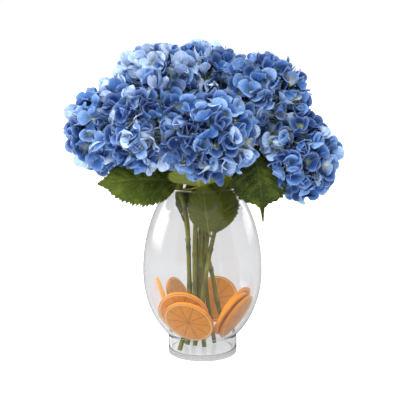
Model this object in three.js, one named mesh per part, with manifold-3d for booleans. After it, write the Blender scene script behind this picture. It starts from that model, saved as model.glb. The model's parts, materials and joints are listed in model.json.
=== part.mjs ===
// Cut blue hydrangeas in a clear glass vase, with orange slices round the stems. Millimetres, +Z
// up. The origin is the centre of the vase's foot on the table, and the front looks along -Y.
import * as THREE from "three";
import { ConvexHull } from "three/addons/math/ConvexHull.js";
import { mergeVertices } from "three/addons/utils/BufferGeometryUtils.js";
import Module from "manifold-3d";

const wasm = await Module();
wasm.setup();

// Driving dimensions

const touchGap = 0.4; // left between two solids that rest on each other

const vaseSize = {
  rimHeight: 251,
  bellyHeight: 126, // where the egg is widest
  bellyRadius: 89,
  lowerReach: 118, // half-height of the egg's lower half, were it whole
  upperReach: 151.4,
  footRadius: 51.5,
  wall: 3.5,
  footWall: 5,
  floor: 7,
  edgeRound: 2,
  sides: 34,
};

const stemRadius = 3.7;
const stemSides = 6;
const petioleRadius = 1.5;
const petioleSides = 5;
const leafThickness = 0.9;

const floretSize = {
  spread: 27, // from the floret's centre to the tip of a petal
  spacing: 47, // between neighbouring florets on a head
  petals: 4,
  neck: 8, // from the floret's centre to the corners of its neck
};
const coreShare = 0.74; // the heart of a head, as a share of its radius

// Where a head's stem comes from, which is also what the heads lean away from.
const mouth = new THREE.Vector3(0, 0, vaseSize.rimHeight - 6);

// Each head: its centre and the radius that its petal tips reach.
const heads = {
  left: { at: [-132, 3, 336], radius: 73 },
  front_left: { at: [-72, -60, 338], radius: 62 },
  front: { at: [10, -80, 329], radius: 66 },
  right: { at: [134, -25, 297], radius: 68 },
  top_left: { at: [-66, 6, 397], radius: 67 },
  top: { at: [2, 42, 402], radius: 65 },
  top_right: { at: [90, 0, 379], radius: 73 },
  back: { at: [42, 90, 326], radius: 68 },
  back_left: { at: [-54, 84, 332], radius: 67 },
};

// Each stem's way up from its cut end to just under its head, along its middle. Two end short of
// the floor, wedged among the slices, and one rests on the bowl.
const stemWays = {
  left: [
    [-26, 14, 8.7], [-22, 10, 33], [-20, 10, 62], [-20, 9, 110], [-21, 9, 160], [-25, 8, 200],
    [-37, 2, 250],
  ],
  front_left: [
    [-33, -24, 9], [-27, -13, 33], [-21, -3, 62], [-18.5, 0, 86], [-20, 0, 126], [-21, -1, 165],
    [-22.5, -5, 199], [-32, -16, 250],
  ],
  front: [
    [-22, -24, 18], [-19, -17, 33], [-13, -7, 62], [-11.7, -5, 81], [-11.6, -5, 120],
    [-11.6, -5, 160], [-11, -6, 185], [-9, -8, 215], [-6, -15, 250],
  ],
  right: [
    [-11, -29, 18], [-8, -23, 33], [-3, -16, 62], [2, -12.5, 98], [9, -12, 144], [18, -12, 186],
    [26, -13, 215], [33, -14, 246], [47, -17, 261],
  ],
  top_left: [
    [33, 14, 36], [23, 10, 73], [15, 8, 116], [6, 9, 155], [2, 13, 178], [-6, 15, 205],
    [-18, 14, 250],
  ],
  top: [
    [3, -4, 8], [0, 1, 33], [-2.7, 5, 62], [-2.7, 5, 110], [-2.7, 5, 160], [-2, 6, 205],
    [4, 9, 250], [8, 9, 320],
  ],
  top_right: [
    [19, 15, 8.4], [15, 14, 33], [10, 16, 62], [5, 19, 110], [6, 20, 155], [13, 22, 205],
    [24, 13, 250],
  ],
  back: [
    [4, 33, 8.4], [3, 28, 33], [1, 26, 62], [0, 29, 110], [2, 31, 160], [8, 34, 205],
    [20, 33, 250],
  ],
  back_left: [
    [-15, 28, 8.4], [-13, 24, 33], [-9, 19, 62], [-9, 17, 110], [-9, 19, 160], [-12, 27, 205],
    [-19, 33, 250],
  ],
};

// Each leaf: the stem that it grows on and the height there, its blade's foot and tip, the way its
// upper face looks, its width, how far the blade arches out between foot and tip, and how far its
// two halves fold back.
const leaves = {
  left_broad: {
    on: "front_left", height: 240, foot: [-36, -27, 263], tip: [-150, -45, 262], faces: [0.08, -0.8, 0.6],
    width: 84, arch: 10, fold: 4,
  },
  right_broad: {
    on: "right", height: 262, foot: [74, -42, 303], tip: [84, -86, 213], faces: [0.15, -0.85, 0.45],
    width: 80, arch: 11, fold: 5, spike: { from: 0.62, to: 0.82, share: 0.86 },
  },
  right_upper: {
    on: "right", height: 259, foot: [63, 0, 266], tip: [104, 8, 312], faces: [0.3, -0.9, 0.2],
    width: 54, arch: 4, fold: 3,
  },
  left_upper: {
    on: "front_left", height: 244, foot: [-38, -17, 262], tip: [-62, -22, 308], faces: [0.1, -0.95, 0.2],
    width: 54, arch: 4, fold: 3,
  },
  inside_right: {
    on: "right", height: 180, foot: [17, -19, 186], tip: [31, -15, 282], faces: [0.1, -1, 0.1],
    width: 62, arch: 5, fold: 3, inside: true,
  },
  inside_middle: {
    on: "right", height: 176, foot: [9, -22, 187], tip: [0, -41, 266], faces: [-0.1, -1, 0.1],
    width: 54, arch: 4, fold: 2, inside: true,
  },
  inside_left: {
    on: "left", height: 196, foot: [-32, 5, 210], tip: [-35, 20, 266], faces: [-0.9, -0.4, 0.2],
    width: 34, arch: 3, fold: 2, inside: true,
  },
  inside_back: {
    on: "back_left", height: 190, foot: [-6, 38, 203], tip: [-8, 40, 268], faces: [0, -1, 0.1],
    width: 46, arch: -2, fold: -2, inside: true,
  },
  under_front: {
    on: "front_left", height: 250, foot: [-4, -46, 259], tip: [-12, -78, 300], faces: [0.05, 0.7, 0.7],
    width: 84, arch: -6, fold: -3,
  },
  back_left: {
    on: "back_left", height: 252, foot: [-38, 42, 268], tip: [-108, 84, 228], faces: [-0.5, 0.45, 0.75],
    width: 74, arch: 10, fold: 4,
  },
  back_right: {
    on: "back", height: 252, foot: [34, 46, 268], tip: [84, 118, 230], faces: [0.35, 0.55, 0.75],
    width: 74, arch: 10, fold: 4,
  },
};

// Each orange slice: the compass angles of its middle and of its face, clockwise from the front as
// seen from above, the distance out at which it starts, its height and how far it leans out. From
// there it slides out until it meets the glass or a slice that is already there.
const sliceSize = { radius: 37, thickness: 5.2, bulge: 0.7, sides: 24 };
const slices = {
  front_left: { at: -20, faces: -20, from: 56.5, height: 62.5, lean: 30 },
  front_right: { at: 61, faces: 61, from: 56.5, height: 62.5, lean: 30 },
  back_right: { at: 159, faces: 163, from: 57, height: 67.5, lean: 29 },
  front_left_inner: { at: -32, faces: -13, from: 51.5, height: 73, lean: 25 },
  front_right_inner: { at: 50, faces: 61, from: 54, height: 69.5, lean: 30 },
  side_right: { at: 81, faces: 58, from: 48.5, height: 70, lean: 28 },
  left: { at: -92, faces: -79, from: 57, height: 78.5, lean: 19 },
  back_left: { at: -133, faces: -108, from: 48, height: 71.5, lean: 25 },
};

const seed = 41;

// Helpers

function randomFrom(start) {
  let state = start;
  return () => {
    state = (state + 0x6d2b79f5) | 0;
    let t = Math.imul(state ^ (state >>> 15), 1 | state);
    t = (t + Math.imul(t ^ (t >>> 7), 61 | t)) ^ t;
    return ((t ^ (t >>> 14)) >>> 0) / 4294967296;
  };
}

function vector(point) {
  return new THREE.Vector3(...point);
}

function solidOf(geometry) {
  const bare = new THREE.BufferGeometry().setAttribute("position", geometry.getAttribute("position"));
  if (geometry.index) bare.setIndex(geometry.index);
  const merged = mergeVertices(bare, 1e-3);
  return new wasm.Manifold(
    new wasm.Mesh({
      numProp: 3,
      vertProperties: new Float32Array(merged.attributes.position.array),
      triVerts: new Uint32Array(merged.index.array),
    }),
  );
}

function geometryOf(solid) {
  const mesh = solid.getMesh();
  const positions = new Float32Array(mesh.numVert * 3);
  for (let i = 0; i < mesh.numVert; i++) {
    const from = i * mesh.numProp;
    positions.set(mesh.vertProperties.subarray(from, from + 3), i * 3);
  }
  const geometry = new THREE.BufferGeometry();
  geometry.setAttribute("position", new THREE.BufferAttribute(positions, 3));
  geometry.setIndex(new THREE.BufferAttribute(mesh.triVerts, 1));
  geometry.computeVertexNormals();
  return geometry;
}

function joined(solids) {
  return solids.reduce((whole, solid) => whole.add(solid));
}

function geometryFrom(points, triangles) {
  const geometry = new THREE.BufferGeometry();
  const places = points.flatMap((p) => [p.x, p.y, p.z]);
  geometry.setAttribute("position", new THREE.Float32BufferAttribute(places, 3));
  geometry.setIndex(triangles.flat());
  return geometry;
}

// A round rod along a smooth line through the points.
function rod(points, radius, sides, steps) {
  const section = new THREE.Shape();
  for (let i = 0; i < sides; i++) {
    const turn = (i / sides) * Math.PI * 2;
    const [x, y] = [radius * Math.cos(turn), radius * Math.sin(turn)];
    if (i) section.lineTo(x, y);
    else section.moveTo(x, y);
  }
  const extrudePath = new THREE.CatmullRomCurve3(points, false, "centripetal");
  return solidOf(new THREE.ExtrudeGeometry(section, { steps, extrudePath, bevelEnabled: false }));
}

// Vase

function eggRadius(height, inset) {
  const { bellyHeight, bellyRadius, lowerReach, upperReach } = vaseSize;
  const reach = (height < bellyHeight ? lowerReach : upperReach) - inset;
  const share = (height - bellyHeight) / reach;
  return (bellyRadius - inset) * Math.sqrt(Math.max(0, 1 - share * share));
}

// The height below the belly at which the egg has this radius.
function eggHeight(radius, inset) {
  const share = radius / (vaseSize.bellyRadius - inset);
  return vaseSize.bellyHeight - (vaseSize.lowerReach - inset) * Math.sqrt(1 - share * share);
}

// Points up the egg's wall, evenly round its curve.
function eggWall(inset, low, high, steps) {
  const { bellyHeight, lowerReach, upperReach } = vaseSize;
  const from = -Math.asin((bellyHeight - low) / (lowerReach - inset));
  const to = Math.asin((high - bellyHeight) / (upperReach - inset));
  return Array.from({ length: steps + 1 }, (_, i) => {
    const turn = from + ((to - from) * i) / steps;
    const height = bellyHeight + ((turn < 0 ? lowerReach : upperReach) - inset) * Math.sin(turn);
    return new THREE.Vector2(eggRadius(height, inset), height);
  });
}

function vaseSolid() {
  const { footRadius, footWall, floor, wall, rimHeight, edgeRound, sides } = vaseSize;
  const well = footRadius - footWall;
  const outside = eggWall(0, eggHeight(footRadius, 0), rimHeight - edgeRound / 2, 8);
  const inside = eggWall(wall, eggHeight(well, wall), rimHeight - edgeRound / 2, 8).reverse();
  const lip = new THREE.Vector2((outside.at(-1).x + inside[0].x) / 2, rimHeight);
  const profile = [
    new THREE.Vector2(0, 0),
    new THREE.Vector2(footRadius - edgeRound, 0),
    new THREE.Vector2(footRadius, edgeRound),
    ...outside,
    lip,
    ...inside,
    new THREE.Vector2(well, floor + edgeRound),
    new THREE.Vector2(well - edgeRound, floor),
    new THREE.Vector2(0, floor),
  ];
  const turned = new THREE.LatheGeometry(profile, sides);
  turned.rotateX(Math.PI / 2); // the lathe turns about Y, and the vase stands on Z
  return solidOf(turned);
}

// Heads

// The way a head leans: out from the vase's mouth.
function headAxis(head) {
  return vector(head.at).sub(mouth).normalize();
}

// How far a head reaches from its centre along a direction: its radius, less under it where it is
// hollow, and no further than the plane where it presses on each neighbour.
function headReach(name, direction) {
  const head = heads[name];
  const fromAxis = THREE.MathUtils.radToDeg(direction.angleTo(headAxis(head)));
  let reach = head.radius * (1 - 0.42 * THREE.MathUtils.smoothstep(fromAxis, 90, 180));
  for (const [other, next] of Object.entries(heads)) {
    if (other === name) continue;
    const across = vector(next.at).sub(vector(head.at));
    const apart = across.length();
    const plane = (apart * apart + head.radius ** 2 - next.radius ** 2) / (2 * apart) - touchGap;
    const toward = across.normalize().dot(direction);
    if (toward > 0) reach = Math.min(reach, plane / toward);
  }
  return reach;
}

// A point of a round head, given from its centre, pressed into the shape that the head has among
// its neighbours.
function pressed(name, point) {
  const away = point.length();
  if (away < 1e-6) return vector(heads[name].at);
  const direction = point.clone().divideScalar(away);
  const share = away / heads[name].radius;
  return direction.multiplyScalar(share * headReach(name, direction)).add(vector(heads[name].at));
}

// The directions in which a head bears florets, spread evenly round its axis, and those left bare:
// under it, round its stem, and where its neighbours press on it.
function floretDirections(name) {
  const { radius } = heads[name];
  const count = Math.round((4 * Math.PI * radius ** 2) / (0.87 * floretSize.spacing ** 2));
  const golden = Math.PI * (3 - Math.sqrt(5));
  const toAxis = new THREE.Quaternion().setFromUnitVectors(new THREE.Vector3(0, 0, 1), headAxis(heads[name]));
  const [borne, bare] = [[], []];
  for (let i = 0; i < count; i++) {
    const level = 1 - (2 * i + 1) / count;
    const ring = Math.sqrt(1 - level * level);
    const direction = new THREE.Vector3(ring * Math.cos(i * golden), ring * Math.sin(i * golden), level);
    direction.applyQuaternion(toAxis);
    const free = level > -0.68 && headReach(name, direction) > 0.62 * radius;
    (free ? borne : bare).push(direction);
  }
  return { borne, bare };
}

// The petals' shape over a quarter turn: the turn, how far out, and the height as a share of the
// head's radius.
const petalOutline = [
  [0, 0.42, 0.9],
  [0.24, 0.88, 1],
  [0.5, 1.06, 0.97],
  [0.76, 0.88, 0.93],
];

// One closed surface: a core with a narrow neck out to each floret, whose petals spread over the core.
function headSolid(name, random) {
  const { radius } = heads[name];
  const { borne, bare } = floretDirections(name);
  const quarter = Math.PI / 2;
  const points = [];
  const corners = new Map(); // each corner of the core, and its floret
  const triangles = [];
  const put = (direction, share) => {
    points.push(pressed(name, direction.clone().multiplyScalar(share * radius)));
    return points.length - 1;
  };
  for (const direction of bare) corners.set(direction, { id: put(direction, coreShare), floret: -1 });
  for (const [floret, up] of borne.entries()) {
    const others = borne.filter((other) => other !== up);
    const side = new THREE.Vector3(0.31, 0.87, 0.4).cross(up).normalize();
    const spin = random() * quarter;
    const lean = side.clone().applyAxisAngle(up, random() * 2 * Math.PI).multiplyScalar(0.055);
    const toward = (turn, out) => {
      const across = side.clone().applyAxisAngle(up, spin + turn * quarter);
      return up.clone().addScaledVector(across, out / radius).normalize();
    };
    // A petal ends short of the next floret's room.
    const within = (turn, out) => {
      let reach = out;
      const crowded = (d) => others.some((other) => other.dot(d) > up.dot(d) - 0.02);
      while (crowded(toward(turn, reach))) reach *= 0.94;
      return toward(turn, reach);
    };
    const neck = [];
    const edge = [];
    for (let petal = 0; petal < floretSize.petals; petal++) {
      const corner = toward(petal + 0.5, floretSize.neck);
      neck.push(put(corner, coreShare));
      corners.set(corner, { id: neck.at(-1), floret });
      const grown = 1 + 0.2 * (random() - 0.5);
      for (const [turn, out, height] of petalOutline) {
        const direction = within(petal + turn, out * grown * floretSize.spread);
        edge.push(put(direction, Math.min(1, height + direction.dot(lean))));
      }
    }
    const eye = put(up, 0.85);
    const outline = petalOutline.length;
    for (const [i, corner] of edge.entries()) triangles.push([eye, corner, edge[(i + 1) % edge.length]]);
    for (const [petal, corner] of neck.entries()) {
      const under = Array.from({ length: outline + 1 }, (_, i) => edge[(petal * outline + i) % edge.length]);
      triangles.push([corner, neck[(petal + 1) % neck.length], under.at(-1)]);
      for (let i = 0; i < outline; i++) triangles.push([corner, under[i + 1], under[i]]);
    }
  }
  for (const face of new ConvexHull().setFromPoints([...corners.keys()]).faces) {
    const edges = [face.getEdge(0), face.getEdge(1), face.getEdge(2)];
    const [a, b, c] = edges.map((edge) => corners.get(edge.head().point));
    const insideNeck = a.floret >= 0 && a.floret === b.floret && b.floret === c.floret;
    if (!insideNeck) triangles.push([a.id, b.id, c.id]);
  }
  return solidOf(geometryFrom(points, triangles)).subtract(stemSocket(name));
}

// Stems and leaves

// Where a stem ends, inside its head.
function stemTop(name) {
  return headAxis(heads[name]).multiplyScalar(-0.3 * heads[name].radius).add(vector(heads[name].at));
}

function stemPoints(name) {
  const below = (share) => stemTop(name).addScaledVector(headAxis(heads[name]), -share * heads[name].radius);
  return [...stemWays[name].map(vector), below(0.55), below(0.28), below(0)];
}

function stemSocket(name) {
  const axis = headAxis(heads[name]);
  const inner = stemTop(name).addScaledVector(axis, touchGap);
  const outer = inner.clone().addScaledVector(axis, -heads[name].radius);
  return rod([inner, outer], (stemRadius + touchGap) / Math.cos(Math.PI / 8), 8, 1);
}

// Keeps a point of a leaf off the heads that it lies against, and on its own side of the glass.
function settled(point, inside) {
  for (const [name, head] of Object.entries(heads)) {
    const away = point.clone().sub(vector(head.at));
    const distance = away.length();
    const needed = headReach(name, away.normalize()) + leafThickness + touchGap;
    if (distance < needed) point = away.multiplyScalar(needed).add(vector(head.at));
  }
  const { rimHeight, wall } = vaseSize;
  if (point.z > rimHeight + touchGap + leafThickness) return point;
  const out = Math.hypot(point.x, point.y);
  const room = leafThickness + 2.5 * touchGap; // the glass is faceted, so its flats come closer
  const height = Math.min(point.z, rimHeight);
  const kept = inside
    ? Math.min(out, eggRadius(height, wall) - room)
    : Math.max(out, eggRadius(height, 0) + room);
  return new THREE.Vector3((point.x * kept) / out, (point.y * kept) / out, point.z);
}

const bluntTip = { from: 0.74, to: 0.96, share: 0.5 }; // how much a blade narrows towards its tip

// A toothed, pointed blade, folded along its midrib, as one thin closed solid.
function leafBlade({ foot, tip, faces, width, arch, fold, inside, spike = bluntTip }) {
  const start = vector(foot);
  const along = vector(tip).sub(start);
  const across = vector(faces).cross(along).normalize();
  const face = along.clone().cross(across).normalize();
  const teeth = 8;
  const point = (t) => 1 - spike.share * THREE.MathUtils.smoothstep(t, spike.from, spike.to);
  const halfWidth = (t) => (width / 2) * Math.sin(Math.PI * Math.min(1, t) ** 0.82) ** 0.75 * point(t);
  const spine = (t) => {
    const straight = start.clone().addScaledVector(along, t);
    return straight.addScaledVector(face, arch * Math.sin(Math.PI * t));
  };
  const middle = [];
  const edges = [[], []];
  for (let i = 0; i <= teeth; i++) {
    const t = i / teeth;
    middle.push(settled(spine(t), inside));
    if (i === teeth) continue;
    for (const [side, sign] of [[0, 1], [1, -1]]) {
      for (const [at, out] of i ? [[t, 0.9], [t + 0.6 / teeth, 1.06]] : [[t + 0.6 / teeth, 1.06]]) {
        const reach = halfWidth(at) * out;
        const point = spine(at + 0.1 / teeth).addScaledVector(across, sign * reach);
        const waved = fold * (1 + 0.25 * Math.sin(at * 17));
        edges[side].push(settled(point.addScaledVector(face, (-waved * reach * 2) / width), inside));
      }
    }
  }
  const surface = [...middle];
  const ids = edges.map((edge) => edge.map((point) => surface.push(point) - 1));
  const upper = [];
  for (const [side, edge] of ids.entries()) {
    const put = (a, b, c) => upper.push(side ? [a, b, c] : [a, c, b]);
    put(0, 1, edge[0]);
    for (let i = 1; i < teeth; i++) {
      const [before, notch, tooth] = [edge[2 * i - 2], edge[2 * i - 1], edge[2 * i]];
      put(i, notch, before);
      put(i, tooth, notch);
      put(i, i + 1, tooth);
    }
  }
  const rims = ids.map((edge) => [0, ...edge, teeth]);
  const flat = geometryFrom(surface, upper);
  flat.computeVertexNormals();
  const normals = flat.getAttribute("normal");
  const lower = surface.map((point, i) =>
    point.clone().addScaledVector(new THREE.Vector3().fromBufferAttribute(normals, i), -leafThickness),
  );
  const count = surface.length;
  const triangles = [...upper, ...upper.map(([a, b, c]) => [a + count, c + count, b + count])];
  for (const [side, rim] of rims.entries()) {
    for (let i = 0; i + 1 < rim.length; i++) {
      const [a, b] = side ? [rim[i], rim[i + 1]] : [rim[i + 1], rim[i]];
      triangles.push([a, b, b + count], [a, b + count, a + count]);
    }
  }
  const solid = solidOf(geometryFrom([...surface, ...lower], triangles));
  return { solid, base: middle[0], second: middle[1] };
}

function leafySolid(name) {
  const points = stemPoints(name);
  const curve = new THREE.CatmullRomCurve3(points, false, "centripetal");
  const pieces = [rod(points, stemRadius, stemSides, 13)];
  for (const leaf of Object.values(leaves).filter((grown) => grown.on === name)) {
    const blade = leafBlade(leaf);
    const samples = curve.getPoints(200);
    const off = (p) => Math.abs(p.z - leaf.height);
    const from = samples.reduce((best, p) => (off(p) < off(best) ? p : best));
    const into = blade.base.clone().lerp(blade.second, 0.55);
    const bow = from.clone().lerp(blade.base, 0.5).add(new THREE.Vector3(0, 0, -2));
    pieces.push(rod([from, bow, blade.base, into], petioleRadius, petioleSides, 6), blade.solid);
  }
  return joined(pieces);
}

// Orange slices

function placedSlice({ at, faces, height, lean }, out, grow) {
  const { radius, thickness, bulge, sides } = sliceSize;
  const [edge, half] = [radius + grow, thickness / 2 + grow];
  const profile = [[0, -half], [edge - bulge, -half], [edge, 0], [edge - bulge, half], [0, half]];
  const geometry = new THREE.LatheGeometry(profile.map(([x, y]) => new THREE.Vector2(x, y)), sides);
  const [turn, tilt, look] = [at, lean, faces].map(THREE.MathUtils.degToRad);
  const level = Math.cos(tilt);
  const outward = new THREE.Vector3(Math.sin(look) * level, -Math.cos(look) * level, -Math.sin(tilt));
  geometry.applyQuaternion(new THREE.Quaternion().setFromUnitVectors(new THREE.Vector3(0, 1, 0), outward));
  geometry.translate(out * Math.sin(turn), -out * Math.cos(turn), height);
  return geometry;
}

// Slides a slice out until it would come closer than the gap to the glass or to a slice already there.
function seatedSlice(slice, others) {
  const step = 0.1;
  const clear = (out) => {
    const grown = solidOf(placedSlice(slice, out, touchGap));
    return others.every((other) => grown.intersect(other).volume() < 1e-6);
  };
  let out = slice.from;
  while (clear(out + step)) out += step;
  return placedSlice(slice, out, 0);
}

// The whole

const looks = {
  glass: new THREE.MeshStandardMaterial({
    color: 0xf2f5f5, roughness: 0.04, metalness: 0, transparent: true, opacity: 0.3,
  }),
  petals: new THREE.MeshStandardMaterial({ color: 0x6f8fd0, roughness: 0.75, metalness: 0 }),
  greens: new THREE.MeshStandardMaterial({ color: 0x4c6a2c, roughness: 0.6, metalness: 0 }),
  orange: new THREE.MeshStandardMaterial({ color: 0xe8913a, roughness: 0.45, metalness: 0 }),
};

const bouquet = new THREE.Group();
bouquet.name = "hydrangeas_in_a_vase";

function add(name, geometry, material) {
  const mesh = new THREE.Mesh(geometry, material);
  mesh.name = name;
  bouquet.add(mesh);
}

const vase = vaseSolid();
add("vase", geometryOf(vase), looks.glass);

const standing = [vase];
for (const [name, slice] of Object.entries(slices)) {
  const geometry = seatedSlice(slice, standing);
  standing.push(solidOf(geometry));
  add(`orange_slice_${name}`, geometry, looks.orange);
}

const random = randomFrom(seed);
for (const name of Object.keys(heads)) {
  add(`leafy_stem_${name}`, geometryOf(leafySolid(name)), looks.greens);
  add(`flower_head_${name}`, geometryOf(headSolid(name, random)), looks.petals);
}

export default bouquet;
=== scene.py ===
# Cut blue hydrangeas in a clear glass vase, with orange slices round the stems.
# Sizes are in millimetres here and become metres through mm. The front looks along -Y.
import json
import random
from itertools import product
from math import asin, atan2, cos, degrees, exp, hypot, pi, radians, sin, sqrt

import bmesh
import bpy
from mathutils import Matrix, Vector, noise

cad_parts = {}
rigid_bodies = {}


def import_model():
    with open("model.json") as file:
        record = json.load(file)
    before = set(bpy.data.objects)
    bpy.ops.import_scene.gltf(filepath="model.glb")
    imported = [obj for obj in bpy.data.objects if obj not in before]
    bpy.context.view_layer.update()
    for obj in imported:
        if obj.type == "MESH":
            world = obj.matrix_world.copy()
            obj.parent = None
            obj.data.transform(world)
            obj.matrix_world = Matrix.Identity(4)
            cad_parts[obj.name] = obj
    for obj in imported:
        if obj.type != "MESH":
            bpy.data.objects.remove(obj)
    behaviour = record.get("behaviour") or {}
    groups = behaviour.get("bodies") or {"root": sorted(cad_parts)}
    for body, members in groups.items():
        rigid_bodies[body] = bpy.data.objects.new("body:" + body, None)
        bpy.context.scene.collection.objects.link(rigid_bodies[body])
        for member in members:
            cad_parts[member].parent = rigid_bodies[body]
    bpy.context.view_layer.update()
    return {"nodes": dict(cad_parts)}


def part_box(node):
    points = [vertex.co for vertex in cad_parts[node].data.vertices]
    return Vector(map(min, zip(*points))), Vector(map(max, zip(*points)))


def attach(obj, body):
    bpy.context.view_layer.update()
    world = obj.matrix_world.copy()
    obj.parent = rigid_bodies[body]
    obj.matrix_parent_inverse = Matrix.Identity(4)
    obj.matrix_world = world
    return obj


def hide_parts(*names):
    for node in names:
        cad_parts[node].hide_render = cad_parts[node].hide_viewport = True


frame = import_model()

mm = 0.001
scene = bpy.context.scene
print("frame loaded:", len(frame["nodes"]), "solids")

# Short ways to build node trees and meshes

current = {"tree": None}  # the node tree that the helpers build in


def fill(node, inputs):  # each input goes by its name, its number or, where names repeat, its identifier
    for key, value in inputs.items():
        known = isinstance(key, int) or key in node.inputs
        socket = node.inputs[key] if known else next(s for s in node.inputs if s.identifier == key)
        if isinstance(value, bpy.types.NodeSocket):
            current["tree"].links.new(value, socket)
        else:
            socket.default_value = value


def put(kind, inputs=None, **settings):  # a bare kind, such as Math, is a shader node
    node = current["tree"].nodes.new(kind if "Node" in kind else "ShaderNode" + kind)
    for key, value in settings.items():
        setattr(node, key, value)
    fill(node, inputs or {})
    return node


def made(kind, inputs=None, **settings):  # a new node's first output
    return put(kind, inputs, **settings).outputs[0]


def math2(how, a, b=0.0, clamp=False):
    return made("Math", {0: a, 1: b}, operation=how, use_clamp=clamp)


def times(a, b):
    return math2("MULTIPLY", a, b)


def plus(a, b):
    return math2("ADD", a, b)


def less(a, b):
    return math2("SUBTRACT", a, b)


def between(value, low, high, toLow=0.0, toHigh=1.0):  # smooth step from low to high
    inputs = {"Value": value, "From Min": low, "From Max": high, "To Min": toLow, "To Max": toHigh}
    return made("MapRange", inputs, interpolation_type="SMOOTHSTEP")


def mixed(share, a, b):
    return put("Mix", {0: share, 6: a, 7: b}, data_type="RGBA").outputs[2]


def layered(colour, coats):  # colours laid over one another, each by its own share
    for share, coat in coats:
        colour = mixed(share, colour, coat)
    return colour


def stops(factor, colours):
    node = put("ValToRGB", {0: factor})
    ramp = node.color_ramp
    while len(ramp.elements) < len(colours):
        ramp.elements.new(0.5)
    for element, (place, colour) in zip(ramp.elements, colours):
        element.position = place
        element.color = colour
    return node.outputs[0]


def axes(vector):
    return put("SeparateXYZ", {0: vector}).outputs


def joined(*parts):
    return made("CombineXYZ", dict(enumerate(parts)))


def objectPlace():
    return put("TexCoord").outputs["Object"]


def own(name, output="Fac"):  # a value that the mesh holds
    return put("Attribute", attribute_name=name, attribute_type="GEOMETRY").outputs[output]


def bumped(height, strength, depth):
    return made("Bump", {"Height": height, "Strength": strength, "Distance": depth * mm})


def newTree(name, kind, inputs, outputs):
    tree = current["tree"] = bpy.data.node_groups.new(name, kind)
    for way, sockets in (("INPUT", inputs), ("OUTPUT", outputs)):
        for label, value in sockets.items():
            tree.interface.new_socket(label, in_out=way, socket_type="NodeSocket" + value)
    return tree, put("NodeGroupInput").outputs


def grainGroup():  # soft mottling or streaks, for every finish: its raw value, and a mask from Low to High
    inputs = {"Place": "Vector", "Stretch": "Vector", "Finer": "Float", "Low": "Float", "High": "Float"}
    tree, given = newTree("grain", "ShaderNodeTree", inputs, {"Raw": "Float", "Mask": "Float"})
    stretched = made("VectorMath", {0: given["Place"], 1: given["Stretch"]}, operation="MULTIPLY")
    raw = made("TexNoise", {"Vector": stretched, "Scale": 1.0, "Detail": given["Finer"]})
    put("NodeGroupOutput", {"Raw": raw, "Mask": between(raw, given["Low"], given["High"])})
    return tree


grain = grainGroup()


def dress(surface, colour, relief, wear):  # the part that the finishes share, from their looks
    fill(surface, {"Base Color": colour, "Normal": bumped(relief, *look.relief),
                   "Roughness": between(wear, *look.roughness), "Specular IOR Level": look.shine})


def grained(place, stretch, finer=2.0, low=0.3, high=0.7):
    stretch = stretch if isinstance(stretch, tuple) else (stretch, stretch, stretch)
    inputs = {"Place": place, "Stretch": stretch, "Finer": finer, "Low": low, "High": high}
    return put("Group", inputs, node_tree=grain).outputs


def newFinish(name):
    finish = bpy.data.materials.new(name)
    finish.use_nodes = True
    current["tree"] = finish.node_tree
    return finish, finish.node_tree.nodes["Principled BSDF"]


def openTree(name, **inputs):  # Geometry Nodes, with an input for each size
    shape = {"Geometry": "Geometry"}
    return newTree(name, "GeometryNodeTree", {**shape, **inputs}, shape)


def closeTree(geometry, material):  # a plain mesh in one finish
    whole = made("GeometryNodeRealizeInstances", {"Geometry": geometry})
    dressed = made("GeometryNodeSetMaterial", {"Geometry": whole, "Material": material})
    put("NodeGroupOutput", {"Geometry": dressed})


def drawn(low, high, seed, kind="FLOAT"):  # a seeded random number for each point
    number = {"FLOAT": 1, "INT": 2}[kind]
    inputs = {f"Min_00{number}": low, f"Max_00{number}": high, "Seed": seed}
    return put("FunctionNodeRandomValue", inputs, data_type=kind).outputs[number]


def eitherWay(most, seed):
    return drawn(times(most, -1.0), most, seed)


def nearOne(spread, seed):
    return drawn(less(1.0, spread), plus(1.0, spread), seed)


def rotation(*angles):
    return made("FunctionNodeEulerToRotation", {0: joined(*angles)})


def shapesAt(points, shelf, topKind, turned, size, seed):  # one of the shelf's shapes at each point
    shapes = made("GeometryNodeCollectionInfo",
                  {"Collection": shelf, "Separate Children": True, "Reset Children": True})
    return made("GeometryNodeInstanceOnPoints", {
        "Points": points, "Instance": shapes, "Pick Instance": True, "Rotation": turned, "Scale": size,
        "Instance Index": drawn(0, topKind, seed, "INT")})


def grown(tree, name, mesh=None, **values):  # the plain mesh that a tree makes of a mesh, or of nothing
    host = newPiece("host", mesh or bpy.data.meshes.new("host"))
    modifier = host.modifiers.new("growth", "NODES")
    modifier.node_group = tree
    for item in tree.interface.items_tree:
        if item.item_type == "SOCKET" and item.in_out == "INPUT" and item.name in values:
            modifier[item.identifier] = values[item.name]
    graph = bpy.context.evaluated_depsgraph_get()
    mesh = bpy.data.meshes.new_from_object(
        host.evaluated_get(graph), preserve_all_data_layers=True, depsgraph=graph)
    mesh.name = name
    host.modifiers.remove(modifier)
    bpy.data.objects.remove(host)
    return mesh


def newPiece(name, mesh):
    piece = bpy.data.objects.new(name, mesh)
    scene.collection.objects.link(piece)
    return piece


def handOver(piece, node):  # the piece rides the body and takes its CAD node's place
    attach(piece, "root")
    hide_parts(node)


def meshOf(name, bm):
    mesh = bpy.data.meshes.new(name)
    bm.to_mesh(mesh)
    bm.free()
    return mesh


def surfaceMesh(name, points, faces):
    mesh = bpy.data.meshes.new(name)
    mesh.from_pydata([tuple(p) for p in points], [], faces)
    mesh.polygons.foreach_set("use_smooth", [True] * len(mesh.polygons))
    mesh.update()
    return mesh


def writeValues(mesh, name, values):
    mesh.attributes.new(name, "FLOAT", "POINT").data.foreach_set("value", values)


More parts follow.
